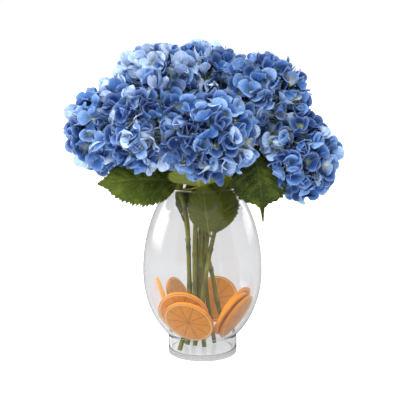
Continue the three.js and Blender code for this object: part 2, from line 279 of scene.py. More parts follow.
def writePlaces(mesh, name, places):  # a UV map, from one place for each vertex
    layer = mesh.uv_layers.new(name=name)
    loops = [0] * len(mesh.loops)
    mesh.loops.foreach_get("vertex_index", loops)
    layer.data.foreach_set("uv", [value for i in loops for value in places[i]])


def gridFaces(rows, width, flip):
    corners = (0, width, width + 1, 1) if flip else (0, 1, width + 1, width)
    return [tuple(i * width + j + c for c in corners) for i, j in product(range(rows), range(width - 1))]


def turnedFaces(rows, turns, flip):  # walls between rings of points, and a cap round a last point at each end
    faces = []
    for i, k in product(range(rows - 1), range(turns)):
        a, b = i * turns + k, i * turns + (k + 1) % turns
        faces.append((a, a + turns, b + turns, b) if flip else (a, b, b + turns, a + turns))
    for end, k in product((0, 1), range(turns)):
        first = end * (rows - 1) * turns
        pair = (first + k, first + (k + 1) % turns)
        faces.append((rows * turns + end, *(pair if (end == 0) == flip else reversed(pair))))
    return faces


class Values(dict):  # a dictionary whose values can be read as values.name
    __getattr__ = dict.__getitem__


def circle(radius, count):  # x, y and the turn of each point on a circle
    turns = [2 * pi * k / count for k in range(count)]
    return [(radius * cos(a), radius * sin(a), a) for a in turns]


def table(columns, rows):  # one dictionary for each row; the last columns may be left out
    return {name: Values(zip(columns, row)) for name, row in rows.items()}


# Camera, floor and light

view = Values({"stands": (-3.6, -1291, 425), "looksDown": 8.5, "lens": 79.2, "sensor": 36})
camera = newPiece("photo_camera", bpy.data.cameras.new("photo_camera"))
camera.data.lens = view.lens
camera.data.sensor_width = view.sensor
camera.location = Vector(view.stands) * mm
camera.rotation_euler = (radians(90 - view.looksDown), 0, 0)
scene.camera = camera
scene.view_settings.view_transform = "Standard"

# backdrop, fill, shine and throughGlass are how bright the white around is for each kind of ray
studio = Values({
    "backdrop": 1.02, "fill": 0.55, "shine": 0.22, "throughGlass": 0.82,
    "floorRadius": 30, "floorMottle": 2.5, "floorDarker": (0.88, 0.88, 0.88, 1),
    "floorLighter": (0.91, 0.91, 0.91, 1), "floorRoughness": 0.8, "floorShine": 0.1, "floorGlow": 0.45,
    "floorThroughGlass": (-0.1, 0.5, 0.285, 0.205), "glowThroughGlass": 1.9,
    "sunTurn": (31, 0, -32), "sunStrength": 4.5, "sunSoftness": 60, "panelFades": (0.27, 0.3),
    "panelAim": (0, 0, 0.2), "panels": table(("at", "size", "power"), {
        "left": ((-1.35, 0.385, 1.0), (1.5, 2.2), 34), "right": ((1.2, 0.75, 0.9), (1.2, 1.8), 10)}),
})


def lightPaths():  # rays from the camera, through glass, and mirrored ones that have passed no glass
    path = put("LightPath").outputs
    through = path["Is Transmission Ray"]
    return path["Is Camera Ray"], through, math2("SUBTRACT", path["Is Glossy Ray"], through, clamp=True)


def buildFloor():
    bm = bmesh.new()
    bmesh.ops.create_circle(bm, cap_ends=True, radius=studio.floorRadius, segments=64)
    floor = newPiece("studio_floor", meshOf("studio_floor", bm))
    finish, surface = newFinish("paleFloor")
    place = objectPlace()
    dust = grained(place, studio.floorMottle)["Mask"]
    fill(surface, {"Base Color": mixed(dust, studio.floorDarker, studio.floorLighter),
                   "Roughness": studio.floorRoughness, "Specular IOR Level": studio.floorShine,
                   "Emission Color": (1, 1, 1, 1), "Emission Strength": studio.floorGlow})
    through, shines = lightPaths()[1:]
    quiet = made("BsdfDiffuse", {"Color": (*[studio.shine] * 3, 1)})
    behindTone = between(axes(place)[1], *studio.floorThroughGlass)
    lit = made("BsdfDiffuse", {"Color": behindTone})
    glows = made("Emission", {"Color": behindTone, "Strength": studio.glowThroughGlass})
    behind = made("AddShader", {0: lit, 1: glows})
    both = made("MixShader", {0: shines, 1: surface.outputs[0], 2: quiet})
    both = made("MixShader", {0: through, 1: both, 2: behind})
    fill(finish.node_tree.nodes["Material Output"], {"Surface": both})
    floor.data.materials.append(finish)


def lightStudio():
    scene.world = bpy.data.worlds.new("studio_light")
    scene.world.use_nodes = True
    current["tree"] = scene.world.node_tree
    seen, through, shines = lightPaths()
    strength = between(shines, 0.0, 1.0, studio.fill, studio.shine)
    strength = between(through, 0.0, 1.0, strength, studio.throughGlass)
    strength = between(seen, 0.0, 1.0, strength, studio.backdrop)
    fill(scene.world.node_tree.nodes["Background"], {"Color": (1, 1, 1, 1), "Strength": strength})

    sun = newPiece("soft_key", bpy.data.lights.new("soft_key", "SUN"))
    sun.data.energy = studio.sunStrength
    sun.data.angle = radians(studio.sunSoftness)
    sun.rotation_euler = [radians(turn) for turn in studio.sunTurn]
    sun.visible_glossy = sun.visible_transmission = False
    for side, facts in studio.panels.items():
        lamp = bpy.data.lights.new(side + "_panel", "AREA")
        lamp.shape = "RECTANGLE"
        lamp.size, lamp.size_y = facts.size
        lamp.energy = facts.power
        lamp.use_nodes = True
        current["tree"] = lamp.node_tree
        spot = axes(put("NewGeometry").outputs["Parametric"])
        fades = [between(math2("ABSOLUTE", less(spot[i], 0.5)), 0.5, studio.panelFades[i]) for i in (0, 1)]
        fill(lamp.node_tree.nodes["Emission"], {"Strength": times(*fades)})
        panel = newPiece(side + "_panel", lamp)
        panel.location = facts.at
        aim = Vector(studio.panelAim) - panel.location
        panel.rotation_euler = aim.to_track_quat("-Z", "Y").to_euler()


buildFloor()
lightStudio()
print("studio ready")

# Shapes that the petals, stems and leaves share

mouth = Vector((0, 0, 245))
# each head's tone sets how pale its florets are and holds painted light and shade: front, front_left, right
# and top_right are painted darker, as if in shade, and top_left paler, as if lit from above
heads = table(("at", "radius", "tone", "fading", "tuft"), {
    "left": ((-132, 3, 335), 72, 0.0, -0.05),
    "front_left": ((-72, -60, 338), 62, -0.13, -0.03),
    "front": ((10, -80, 329), 66, -0.22, 0.05, (3, -14, 370)),
    "right": ((133, -25, 297), 66, -0.12, 0.08),
    "top_left": ((-66, 6, 395), 67, 0.33, -0.04),
    "top": ((2, 42, 402), 65, 0.06, 0.03, (10, 0, 375)),
    "top_right": ((88, 0, 380), 70, -0.25, 0.05),
    "back": ((42, 90, 326), 68, 0.0, 0.0),
    "back_left": ((-54, 84, 332), 67, 0.05, 0.0),
})
touchGap = 0.4
flatterUnder = 0.42


def headAxis(name):
    return (Vector(heads[name].at) - mouth).normalized()


def ease(x, low, high):
    t = min(1, max(0, (x - low) / (high - low)))
    return t * t * (3 - 2 * t)


def freeReach(name, way):  # a head is a ball that is flatter underneath
    fromAxis = degrees(way.angle(headAxis(name)))
    return heads[name].radius * (1 - flatterUnder * ease(fromAxis, 90, 180))


def pressedReach(name, way):  # how far a head reaches before its nearest neighbour stops it
    head, reach = heads[name], 1000
    for other, neighbour in heads.items():
        if other == name:
            continue
        across = Vector(neighbour.at) - Vector(head.at)
        apart = across.length
        plane = (apart**2 + head.radius ** 2 - neighbour.radius ** 2) / (2 * apart) - touchGap
        toward = across.normalized().dot(way)
        if toward > 0:
            reach = min(reach, plane / toward)
    return reach


def headReach(name, way):
    return min(freeReach(name, way), pressedReach(name, way))


def smoothWay(points, perSpan):  # a smooth line through all the points
    ps = [Vector(p) for p in points]
    ps = [ps[0] * 2 - ps[1], *ps, ps[-1] * 2 - ps[-2]]
    way = []
    for p0, p1, p2, p3 in zip(ps, ps[1:], ps[2:], ps[3:]):
        d0, d1, d2 = [max(1e-3, (b - a).length) ** 0.5 for a, b in ((p0, p1), (p1, p2), (p2, p3))]
        t1 = ((p1 - p0) / d0 - (p2 - p0) / (d0 + d1) + (p2 - p1) / d1) * d1
        t2 = ((p2 - p1) / d1 - (p3 - p1) / (d1 + d2) + (p3 - p2) / d2) * d1
        for i in range(perSpan):
            t = i / perSpan
            way.append(p1 + t1 * t + (3 * (p2 - p1) - 2 * t1 - t2) * t**2 + (2 * (p1 - p2) + t1 + t2) * t**3)
    return [*way, ps[-2]]


# Finishes. Pairs say where a change begins and where it is complete; fours add its strength at both.

look = petalLook = Values({
    "deep": (0.011, 0.054, 0.205, 1), "blue": (0.035, 0.122, 0.370, 1),
    "cornflower": (0.078, 0.207, 0.515, 1), "periwinkle": (0.21, 0.365, 0.66, 1),
    "pale": (0.52, 0.65, 0.85, 1), "eye": (0.42, 0.50, 0.16, 1), "cream": (0.62, 0.66, 0.44, 1),
    "stalk": (0.20, 0.27, 0.16, 1),
    "tones": {"deep": 0.05, "blue": 0.32, "cornflower": 0.58, "periwinkle": 0.80, "pale": 1.0},
    "drift": 17.0, "driftShare": 0.55, "veinStretch": (15.0, 1.6, 1.0), "veinFiner": 2.5,
    "veinMask": (0.35, 0.7, 0, 0.34), "edgeSpan": (0.35, 1.0), "edgeAlong": (0.1, 0.8), "paleEdge": 0.20,
    "rimMask": (0.86, 1.0, 0, 0.06), "throatMask": (0.62, 0.12, 0, 0.55), "creamMask": (0.94, 0.985, 0, 0.8),
    "creamAlong": (1.0, 0.1), "eyeSpan": (0.34, 0.05), "eyeMask": (0.55, 0.95, 0.08, 0.95),
    "relief": (0.35, 0.6), "roughness": (0.2, 0.8, 0.55, 0.72), "shine": 0.25, "sheen": 0.05,
    "sheenRoughness": 0.5, "glow": 0.3, "glowReach": (0.5 * mm, 0.7 * mm, 1.2 * mm),
})
petalFinish, surface = newFinish("bluePetal")
part, tint, fade, rim = [own(name) for name in ("part", "tint", "fade", "rim")]
petalPlace = own("petalPlace", "Vector")
along = axes(petalPlace)[1]
drift = grained(objectPlace(), look.drift)["Raw"]
# each floret's tint, which holds its head's painted light and shade, moved up and down by a soft drift
shade = plus(tint, times(less(drift, 0.5), look.driftShare))
# a paler edge towards the petal's tip: partly its own paler margin, partly a painted highlight where edges
# catch the light
edge = times(between(rim, *look.edgeSpan), between(along, *look.edgeAlong))
veins = grained(petalPlace, look.veinStretch, look.veinFiner)["Raw"]
isFaded = between(fade, *look.creamMask)
heart = times(between(along, *look.eyeSpan), between(fade, *look.eyeMask))
colour = layered(stops(shade, [(at, look[name]) for name, at in look.tones.items()]), [
    (times(edge, look.paleEdge), look.pale),
    # painted shade: petals darker towards their base, in the floret's middle where they overlap
    (between(along, *look.throatMask), look.deep),
    (between(veins, *look.veinMask), look.deep),
    # a thin pale rim: partly the petal's own colour, partly painted highlight
    (between(rim, *look.rimMask), look.pale),
    (times(isFaded, between(along, *look.creamAlong)), look.cream),
    (heart, look.eye),
    (math2("COMPARE", part, 1.0), mixed(fade, look.periwinkle, look.eye)),  # the bud
    (math2("GREATER_THAN", part, 1.5), look.stalk),
])
dress(surface, colour, veins, veins)
fill(surface, {
    "Sheen Weight": look.sheen, "Sheen Roughness": look.sheenRoughness,
    "Subsurface Weight": look.glow, "Subsurface Radius": look.glowReach, "Subsurface Scale": 1.0})

look = leafLook = Values({
    "dark": (0.014, 0.030, 0.001, 1), "green": (0.042, 0.072, 0.003, 1), "bright": (0.135, 0.165, 0.008, 1),
    "vein": (0.30, 0.33, 0.09, 1), "under": (0.13, 0.16, 0.02, 1), "underShare": 0.75, "mottle": 55.0,
    "mottleFiner": 4.0, "mottleShare": 0.5, "brightMask": (0.45, 0.7, 0, 0.35), "sideVeins": 8,
    "veinSweep": 0.30, "veinBend": 1.25, "veinLine": (0.465, 0.5), "veinDepth": 0.62,
    "ribWidth": (0, 1, 0.085, 0.02), "ribCore": 0.4, "netStretch": (30.0, 9.0, 1.0), "netScale": 1.4,
    "netLine": (0.09, 0.0), "netShare": 0.26, "veinMask": (0.2, 1.1, 0.07, 0.62), "netSinks": -0.5,
    "ribsSink": -0.8, "swell": (0.5, 0.15, -0.6, 0.9), "relief": (0.55, 1.4),
    "roughness": (0.3, 0.7, 0.42, 0.58), "shine": 0.25,
})
leafFinish, surface = newFinish("leafGreen")
leafPlace = own("leafPlace", "Vector")
along, across = axes(leafPlace)[:2]
tone, under = own("tone"), own("under")
mottle = grained(objectPlace(), look.mottle, look.mottleFiner)["Raw"]
# the leaf's tone, with its painted light and shade, moved by a mottle
shade = plus(tone, times(less(mottle, 0.5), look.mottleShare))
offRib = math2("ABSOLUTE", across)
sweep = times(math2("POWER", offRib, look.veinBend), look.veinSweep)
turns = times(less(along, sweep), look.sideVeins)
fromVein = math2("ABSOLUTE", less(math2("FRACT", turns), 0.5))
ribWidth = between(along, *look.ribWidth)
midrib = between(offRib, ribWidth, times(ribWidth, look.ribCore))
ribs = math2("MAXIMUM", midrib, times(between(fromVein, *look.veinLine), look.veinDepth))
netPlace = made("Mapping", {"Vector": leafPlace, "Scale": look.netStretch})
net = made("TexVoronoi", {"Vector": netPlace, "Scale": look.netScale}, feature="DISTANCE_TO_EDGE")
netLine = between(net, *look.netLine)
colour = layered(stops(shade, [(0.0, look.dark), (0.5, look.green), (1.0, look.bright)]), [
    (between(mottle, *look.brightMask), look.bright),
    (times(under, look.underShare), look.under),
    (times(netLine, look.netShare), look.vein),
    (times(ribs, between(tone, *look.veinMask)), look.vein),
])
sunken = plus(times(netLine, look.netSinks), times(ribs, look.ribsSink))
relief = plus(sunken, between(fromVein, *look.swell))
dress(surface, colour, relief, mottle)

look = stemLook = Values({
    "olive": (0.092, 0.100, 0.004, 1), "green": (0.175, 0.180, 0.009, 1), "light": (0.36, 0.34, 0.075, 1),
    "scar": (0.075, 0.045, 0.015, 1), "pith": (0.42, 0.38, 0.20, 1), "patches": 26.0,
    "patchStops": (0.3, 0.55, 0.78), "streakStretch": (420.0, 420.0, 22.0), "streakFiner": 3.0,
    "streakMask": (0.5, 0.75, 0, 0.45), "scarShare": 0.7, "relief": (0.4, 0.5),
    "roughness": (0.2, 0.8, 0.45, 0.65), "shine": 0.3,
})
stemFinish, surface = newFinish("oliveStem")
place = objectPlace()
streak = grained(place, look.streakStretch, look.streakFiner)["Raw"]
patch = grained(place, look.patches)["Raw"]
colour = layered(stops(patch, list(zip(look.patchStops, (look.olive, look.green, look.light)))), [
    (between(streak, *look.streakMask), look.light),
    (times(own("knot"), look.scarShare), look.scar),
    (own("pith"), look.pith),
])
dress(surface, colour, streak, streak)

look = orangeLook = Values({
    "flesh": (0.74, 0.255, 0.001, 1), "juice": (0.86, 0.33, 0.003, 1), "wall": (0.48, 0.135, 0.002, 1),
    "pith": (0.95, 0.72, 0.38, 1), "rind": (0.80, 0.27, 0.004, 1), "pale": (0.80, 0.44, 0.15, 1),
    "segments": 10, "wallWidth": 0.018, "wallFades": 2.4, "wallShare": 0.75, "sacs": (62.0, 7.0),
    "fleshSpan": (0.1, 0.75), "blotches": 60.0, "blotchShare": 0.35, "coreMask": (0.09, 0.03, 0, 0.4),
    "pithRing": (0.90, 0.948), "pithFades": 0.015, "rindFrom": (0.940, 0.950), "relief": (0.25, 0.8),
    "roughness": (0.1, 0.8, 0.32, 0.5), "shine": 0.3, "glow": 0.15, "glowReach": (6 * mm, 3 * mm, 1 * mm),
})
orangeFinish, surface = newFinish("orangeFlesh")
split = axes(own("slicePlace", "Vector"))
sideways, upwards = [less(split[i], 0.5) for i in (0, 1)]
fromMiddle = put("VectorMath", {0: joined(sideways, upwards)}, operation="LENGTH").outputs["Value"]
out = times(fromMiddle, 2.0)
turn = math2("DIVIDE", math2("ARCTAN2", upwards, sideways), 2 * pi)
segment = math2("FRACT", times(turn, look.segments))
fromWall = less(0.5, math2("ABSOLUTE", less(segment, 0.5)))
wallWidth = math2("DIVIDE", look.wallWidth, math2("MAXIMUM", out, 0.05))
segmentWall = between(fromWall, times(wallWidth, look.wallFades), wallWidth)
sacPlace = joined(times(turn, look.sacs[0]), times(out, look.sacs[1]))
sacs = made("TexVoronoi", {"Vector": sacPlace, "Scale": 1.0})
blotch = grained(objectPlace(), look.blotches)["Mask"]
ringIn, ringOut = look.pithRing
ring = times(between(out, ringIn, ringIn + look.pithFades), between(out, ringOut, ringOut - look.pithFades))
colour = layered(mixed(between(sacs, *look.fleshSpan), look.juice, look.flesh), [
    (times(blotch, look.blotchShare), look.juice),
    (times(segmentWall, look.wallShare), look.wall),
    (between(out, *look.coreMask), look.wall),
    (ring, look.pith),
    (between(out, *look.rindFrom), look.rind),
    # painted light: slices in shade washed towards the pale colour
    (own("wash"), look.pale),
])
dress(surface, colour, sacs, sacs)
fill(surface, {"Subsurface Weight": look.glow, "Subsurface Radius": look.glowReach})

look = glassLook = Values({
    "bend": 1.45, "body": (0.960, 0.962, 0.968, 1), "shadow": (0.97, 0.975, 0.985, 1),
    "depth": (0.80, 0.80, 0.83, 1), "density": 9.0, "swirls": 9.0, "swirlDepth": 0.05, "swirlSize": 4,
    "roughness": (0.3, 0.7, 0, 0.012),
})
glassFinish, surface = newFinish("clearGlass")
swirl = grained(objectPlace(), look.swirls, 1.0)["Raw"]
fill(surface, {
    "Base Color": look.body, "Transmission Weight": 1.0, "IOR": look.bend,
    "Normal": bumped(swirl, look.swirlDepth, look.swirlSize),
    "Roughness": between(swirl, *look.roughness)})
clear = made("BsdfTransparent", {"Color": look.shadow})
isShadow = put("LightPath").outputs["Is Shadow Ray"]
fill(glassFinish.node_tree.nodes["Material Output"], {
    "Surface": made("MixShader", {0: isShadow, 1: surface.outputs[0], 2: clear}),
    "Volume": made("VolumeAbsorption", {"Color": look.depth, "Density": look.density})})
print("finishes ready")

# Vase

vaseSize = Values({
    "rimHeight": 251, "bellyHeight": 126, "bellyRadius": 89, "lowerReach": 118, "upperReach": 151.4,
    "footRadius": 51.5, "wall": 3.5, "footWall": 5, "floor": 7, "floorRings": (16, 34), "edgeRound": 2,
    "shaft": (8, 16, 23, 27.5), "wellShaft": (26, 20, 14), "turns": 160,
})


def eggReach(lower, inset):
    return (vaseSize.lowerReach if lower else vaseSize.upperReach) - inset


def eggRadius(height, inset):
    share = (height - vaseSize.bellyHeight) / eggReach(height < vaseSize.bellyHeight, inset)
    return (vaseSize.bellyRadius - inset) * sqrt(max(0, 1 - share**2))


def eggHeight(radius, inset):
    share = radius / (vaseSize.bellyRadius - inset)
    return vaseSize.bellyHeight - eggReach(True, inset) * sqrt(1 - share**2)


def eggWall(inset, low, high, steps):
    start = -asin((vaseSize.bellyHeight - low) / eggReach(True, inset))
    end = asin((high - vaseSize.bellyHeight) / eggReach(False, inset))
    way = []
    for i in range(steps + 1):
        turn = start + (end - start) * i / steps
        height = vaseSize.bellyHeight + eggReach(turn < 0, inset) * sin(turn)
        way.append((eggRadius(height, inset), height))
    return way


def corner(centre, radius, start, end, steps):
    turns = [radians(start + (end - start) * i / steps) for i in range(steps + 1)]
    return [(centre[0] + radius * cos(a), centre[1] + radius * sin(a)) for a in turns]


def buildVase():
    v = vaseSize
    well = v.footRadius - v.footWall
    top = v.rimHeight - v.wall / 2
    lipOut, lipIn = eggRadius(top, 0), eggRadius(top, v.wall)
    lip = corner(((lipOut + lipIn) / 2, top), (lipOut - lipIn) / 2, 12, 168, 6)
    outside = eggWall(0, eggHeight(v.footRadius, 0), top, 56)
    inside = eggWall(v.wall, eggHeight(well, v.wall), top, 56)[::-1]
    foot = corner((v.footRadius - v.edgeRound, v.edgeRound), v.edgeRound, -90, 0, 5)
    wellEdge = v.edgeRound * 1.5
    wellRound = corner((well - wellEdge, v.floor + wellEdge), wellEdge, 0, -90, 5)
    profile = [*((r, 0) for r in v.floorRings), *foot, *((v.footRadius, h) for h in v.shaft),
               *outside, *lip, *inside, *((well, h) for h in v.wellShaft), *wellRound,
               *((r, v.floor) for r in reversed(v.floorRings))]
    points = [Vector((x, y, height)) * mm for r, height in profile for x, y, _ in circle(r, v.turns)]
    points += [Vector((0, 0, height)) * mm for height in (0, v.floor)]
    mesh = surfaceMesh("glass_vase", points, turnedFaces(len(profile), v.turns, False))
    mesh.materials.append(glassFinish)
    handOver(newPiece("glass_vase", mesh), "vase")


buildVase()
print("vase turned")

# Orange slices

# rings are shares of the radius, and edge adds the depth below the face
sliceSize = Values({
    "radius": 37, "thickness": 5.2, "turns": 96, "faceSinks": 0.12, "fleshEnds": 0.886,
    "rings": (0.057, 0.114, 0.186, 0.271, 0.357, 0.443, 0.529, 0.614, 0.70, 0.771, 0.829, 0.869, 0.886,
        0.909, 0.931, 0.949, 0.969), "edge": ((0.983, 0.35), (0.993, 0.85), (0.998, 1.5)), "sacHeight": 0.16,
    "wallDepth": 0.28, "fleshLift": 0.05,
})
# the last column paints light on slices at the back and sides, which lie in shade, by washing them towards a
# paler orange
slices = table(("faces", "lean", "spin", "wash"), {
    "front_left": (-20, 30, 4, 0.0),
    "front_right": (61, 30, 21, 0.0),
    "back_right": (163, 29, 13, 0.16),
    "front_left_inner": (-13, 25, 30, 0.0),
    "front_right_inner": (61, 30, 9, 0.0),
    "side_right": (58, 28, 17, 0.05),
    "left": (-79, 19, 11, 0.25),
    "back_left": (-108, 25, 26, 0.2),
})


def buildSlice(name, slice):
    radius, half, turns = sliceSize.radius, sliceSize.thickness / 2, sliceSize.turns
    facing, lean, spin = [radians(slice[key]) for key in ("faces", "lean", "spin")]
    outward = Vector((sin(facing) * cos(lean), -cos(facing) * cos(lean), -sin(lean)))
    low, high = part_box("orange_slice_" + name)
    turned = outward.to_track_quat("Z", "Y").to_matrix()
    profile = [(radius * share, half - sliceSize.faceSinks) for share in sliceSize.rings]
    profile += [(radius * share, half - depth) for share, depth in sliceSize.edge] + [(radius, 0)]
    profile += [(r, -h) for r, h in reversed(profile[:-1])]
    points, places = [], []
    for r, h in profile:
        for x, y, a in circle(r, turns):
            local = Vector((x, y, h))
            if r < radius * sliceSize.fleshEnds:
                side = 1 if h > 0 else -1
                sac = noise.noise(Vector((r * 0.32, a * 7.5, slice.spin + side * 5)))
                wallDip = abs(((a + spin) / (2 * pi) * orangeLook.segments) % 1 - 0.5)
                dip = sliceSize.wallDepth * ease(wallDip, 0.44, 0.5)
                local.z += side * (sliceSize.sacHeight * sac - dip + sliceSize.fleshLift)
            points.append(turned @ local * mm + (low + high) / 2)
            a += spin
            places.append((0.5 + r / radius / 2 * cos(a), 0.5 + r / radius / 2 * sin(a)))
    for height in (half, -half):
        points.append(turned @ Vector((0, 0, height)) * mm + (low + high) / 2)
        places.append((0.5, 0.5))
    mesh = surfaceMesh("cut_orange_" + name, points, turnedFaces(len(profile), turns, True))
    writePlaces(mesh, "slicePlace", places)
    writeValues(mesh, "wash", [slice.wash] * len(points))
    mesh.materials.append(orangeFinish)
    handOver(newPiece("cut_orange_" + name, mesh), "orange_slice_" + name)


for sliceName, sliceFacts in slices.items():
    buildSlice(sliceName, sliceFacts)
print("orange slices cut")

# Stems and leaves

stemSize = Values({
    "radius": 3.6, "slimness": 0.93, "taper": 0.10, "sides": 12, "firstKnot": (18, 45), "knotEvery": 58,
    "knotSwell": 0.24, "knotLength": 3.2, "scarDepth": 0.8, "knotBelowTop": 70, "petiole": 1.5, "rays": 11,
    "ray": 1.1, "rayReach": 0.62, "goldenTurn": 2.39996, "seed": 11,
})
stemWays = {
    "left": [(-26, 14, 8.7), (-22, 10, 33), (-20, 10, 62), (-20, 9, 110), (-21, 9, 160), (-25, 8, 200),
        (-37, 2, 250)],
    "front_left": [(-33, -24, 9), (-27, -13, 33), (-21, -3, 62), (-18.5, 0, 86), (-20, 0, 126),
        (-21, -1, 165), (-22.5, -5, 199), (-32, -16, 250)],
    "front": [(-22, -24, 18), (-19, -17, 33), (-13, -7, 62), (-11.7, -5, 81), (-11.6, -5, 120),
        (-11.6, -5, 160), (-11, -6, 185), (-9, -8, 215), (-6, -15, 250)],
    "right": [(-11, -29, 18), (-8, -23, 33), (-3, -16, 62), (2, -12.5, 98), (9, -12, 144), (18, -12, 186),
        (26, -13, 215), (33, -14, 246), (47, -17, 261)],
    "top_left": [(33, 14, 36), (23, 10, 73), (15, 8, 116), (6, 9, 155), (2, 13, 178), (-6, 15, 205),
        (-18, 14, 250)],
    "top": [(3, -4, 8), (0, 1, 33), (-2.7, 5, 62), (-2.7, 5, 110), (-2.7, 5, 160), (-2, 6, 205), (4, 9, 250),
        (8, 9, 320)],
    "top_right": [(19, 15, 8.4), (15, 14, 33), (10, 16, 62), (5, 19, 110), (6, 20, 155), (13, 22, 205),
        (24, 13, 250)],
    "back": [(4, 33, 8.4), (3, 28, 33), (1, 26, 62), (0, 29, 110), (2, 31, 160), (8, 34, 205),
        (20, 33, 250)],
    "back_left": [(-15, 28, 8.4), (-13, 24, 33), (-9, 19, 62), (-9, 17, 110), (-9, 19, 160), (-12, 27, 205),
        (-19, 33, 250)],
}
leafSize = Values({
    "thickness": 0.9, "along": 64, "across": 13, "teeth": 24, "toothDepth": 0.1,
    "bluntTip": (0.74, 0.96, 0.5), "quilting": 0.75, "midribDip": 0.5, "midrib": 0.9, "crumple": 0.5,
})
leafColumns = ("on", "height", "foot", "tip", "faces", "width", "arch", "fold", "tone", "inside",
               "lighterTip", "spike")
# a leaf's tone holds painted light as well as its green: the leaves inside the vase lie in the heads' shade
# and are painted paler, and right_broad is painted darker; the gradient column paints shade on a leaf's foot
# under the heads and light towards its tip
leaves = table(leafColumns, {
    "left_broad": ("front_left", 240, (-36, -27, 263), (-150, -45, 262), (0.08, -0.8, 0.6), 84, 10, 4, 0.38,
                   False, 0.5),
    "right_broad": ("right", 262, (74, -42, 303), (84, -86, 213), (0.15, -0.85, 0.45), 80, 11, 5, -0.3,
                    False, 1.0, (0.62, 0.82, 0.86)),
    "right_upper": ("right", 259, (63, 0, 266), (104, 8, 312), (0.3, -0.9, 0.2), 54, 4, 3, 0.05),
    "left_upper": ("front_left", 244, (-38, -17, 262), (-62, -22, 308), (0.1, -0.95, 0.2), 54, 4, 3, 0.1),
    "inside_right": ("right", 180, (17, -19, 186), (31, -15, 282), (0.1, -1, 0.1), 62, 5, 3, 1.1, True),
    "inside_middle": ("right", 176, (9, -22, 187), (0, -41, 266), (-0.1, -1, 0.1), 54, 4, 2, 1.25, True),
    "inside_left": ("left", 196, (-32, 5, 210), (-35, 20, 266), (-0.9, -0.4, 0.2), 34, 3, 2, 0.6, True),
    "inside_back": ("back_left", 190, (-6, 38, 203), (-8, 40, 268), (0, -1, 0.1), 46, -2, -2, 0.7, True),
    "under_front": ("front_left", 250, (-4, -46, 259), (-12, -78, 300), (0.05, 0.7, 0.7), 84, -6, -3, 0.6),
    "back_left": ("back_left", 252, (-38, 42, 268), (-108, 84, 228), (-0.5, 0.45, 0.75), 74, 10, 4, 0.45),
    "back_right": ("back", 252, (34, 46, 268), (84, 118, 230), (0.35, 0.55, 0.75), 74, 10, 4, 0.35),
})


def stalkTree():  # rounds lines of edges into stalks, as thick as their own girth says
    tree, given = openTree("stalks", Sides="Int", Thickness="Float", Material="Material")
    line = made("GeometryNodeMeshToCurve", {"Mesh": given["Geometry"]})
    girth = made("GeometryNodeInputNamedAttribute", {"Name": "girth"}, data_type="FLOAT")
    ring = made("GeometryNodeCurvePrimitiveCircle", {"Resolution": given["Sides"], "Radius": mm})
    tube = made("GeometryNodeCurveToMesh", {"Curve": line, "Profile Curve": ring,
                                            "Scale": times(girth, given["Thickness"]), "Fill Caps": True})
    closeTree(made("GeometryNodeSetShadeSmooth", {"Geometry": tube}), given["Material"])
    return tree


stalks = stalkTree()


def linesMesh(lines):  # each line: its points, their girths, and how much each is a knot
    points, edges, girths, knots = [], [], [], []
    for way, girth, knot in lines:
        edges += [(len(points) + i, len(points) + i + 1) for i in range(len(way) - 1)]
        points += [p * mm for p in way]
        girths += girth
        knots += knot
    mesh = bpy.data.meshes.new("stem_lines")
    mesh.from_pydata(points, edges, [])
    writeValues(mesh, "girth", girths)
    writeValues(mesh, "knot", knots)
    return mesh


def settled(point, inside):  # off the heads that a leaf lies against, and on its own side of the glass
    thick = leafSize.thickness
    for name, head in heads.items():
        away = point - Vector(head.at)
        needed = headReach(name, away) + thick + touchGap if away.length < head.radius + 3 else 0
        if away.length < needed:
            point = Vector(head.at) + away.normalized() * needed
    if point.z > vaseSize.rimHeight + touchGap + thick:
        return point
    out = hypot(point.x, point.y)
    room = thick + 2.5 * touchGap
    height = min(point.z, vaseSize.rimHeight)
    if inside:
        kept = min(out, eggRadius(height, vaseSize.wall) - room)
    else:
        kept = max(out, eggRadius(height, 0) + room)
    return Vector((point.x * kept / out, point.y * kept / out, point.z))


